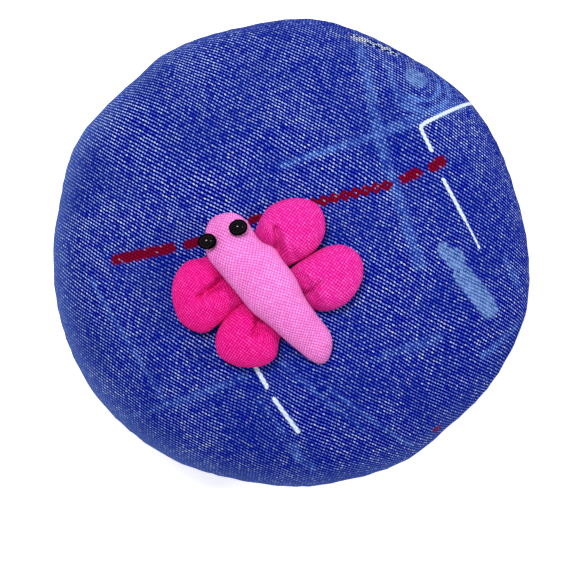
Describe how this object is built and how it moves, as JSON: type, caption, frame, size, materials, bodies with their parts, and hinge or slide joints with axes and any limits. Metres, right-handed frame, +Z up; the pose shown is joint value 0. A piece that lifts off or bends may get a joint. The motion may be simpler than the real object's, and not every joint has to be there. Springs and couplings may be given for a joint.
{
  "type": "wrist pin cushion",
  "caption": "Round stuffed denim pin cushion with a padded pink dragonfly sewn on top, worn on the wrist by a webbing strap that closes with hook and loop patches.",
  "frame": {"origin": "on the surface that the closed strap rests on, under the middle of the cushion", "axes": "+Z up through the cushion; +X along the strap, towards the side where the outer, hook tail folds; +Y across the strap, so that the dragonfly's tail points to +X and -Y"},
  "size_m": [0.098, 0.098, 0.0623],
  "materials": {
    "denim": "matte",
    "navy_thread": "matte",
    "guard_plastic": "satin",
    "fiberfill": "matte",
    "pale_pink_cotton": "matte",
    "hot_pink_cotton": "matte",
    "pink_thread": "matte",
    "black_glass": "gloss",
    "black_thread": "matte",
    "webbing": "matte",
    "loop_tape": "matte",
    "hook_tape": "satin"
  },
  "bodies": {
    "cushion": {"top_cover": "denim", "back_cover": "denim", "rim_seam_thread": "navy_thread", "wrist_guard_disc": "guard_plastic", "fiberfill_stuffing": "fiberfill", "body_cover": "pale_pink_cotton", "body_filling": "fiberfill", "body_closing_thread": "pink_thread", "front_right_wing_cover": "hot_pink_cotton", "front_right_wing_filling": "fiberfill", "front_right_wing_gather_thread": "pink_thread", "rear_right_wing_cover": "hot_pink_cotton", "rear_right_wing_filling": "fiberfill", "rear_right_wing_gather_thread": "pink_thread", "front_left_wing_cover": "hot_pink_cotton", "front_left_wing_filling": "fiberfill", "front_left_wing_gather_thread": "pink_thread", "rear_left_wing_cover": "hot_pink_cotton", "rear_left_wing_filling": "fiberfill", "rear_left_wing_gather_thread": "pink_thread", "bead_eye_right": "black_glass", "bead_eye_left": "black_glass", "bead_thread_right": "black_thread", "bead_thread_left": "black_thread", "strap_middle": "webbing", "box_stitch_left": "navy_thread", "box_stitch_right": "navy_thread"},
    "hook_side_bend": {"strap_bend_right": "webbing"},
    "hook_side_tail": {"strap_hook_tail": "webbing", "hook_patch": "hook_tape", "hook_patch_stitches": "navy_thread"},
    "loop_side_bend": {"strap_bend_left": "webbing"},
    "loop_side_tail": {"strap_loop_tail": "webbing", "loop_patch": "loop_tape", "loop_patch_stitches": "navy_thread"}
  },
  "joints": [
    {"name": "hook_upper_fold", "type": "hinge", "parent": "cushion", "child": "hook_side_bend", "pos_m": [0.03743, 0, 0.01373], "axis": [0, -1, 0], "range_deg": [0, 90]},
    {"name": "hook_lower_fold", "type": "hinge", "parent": "hook_side_bend", "child": "hook_side_tail", "pos_m": [0.03743, 0, 0.00227], "axis": [0, -1, 0], "range_deg": [0, 90]},
    {"name": "loop_upper_fold", "type": "hinge", "parent": "cushion", "child": "loop_side_bend", "pos_m": [-0.03789, 0, 0.01419], "axis": [0, 1, 0], "range_deg": [0, 90]},
    {"name": "loop_lower_fold", "type": "hinge", "parent": "loop_side_bend", "child": "loop_side_tail", "pos_m": [-0.03789, 0, 0.00611], "axis": [0, 1, 0], "range_deg": [0, 90]}
  ],
  "couplings": [
    {"joint": "hook_lower_fold", "follows": "hook_upper_fold", "ratio": 1},
    {"joint": "loop_upper_fold", "follows": "hook_upper_fold", "ratio": 1},
    {"joint": "loop_lower_fold", "follows": "hook_upper_fold", "ratio": 1}
  ]
}
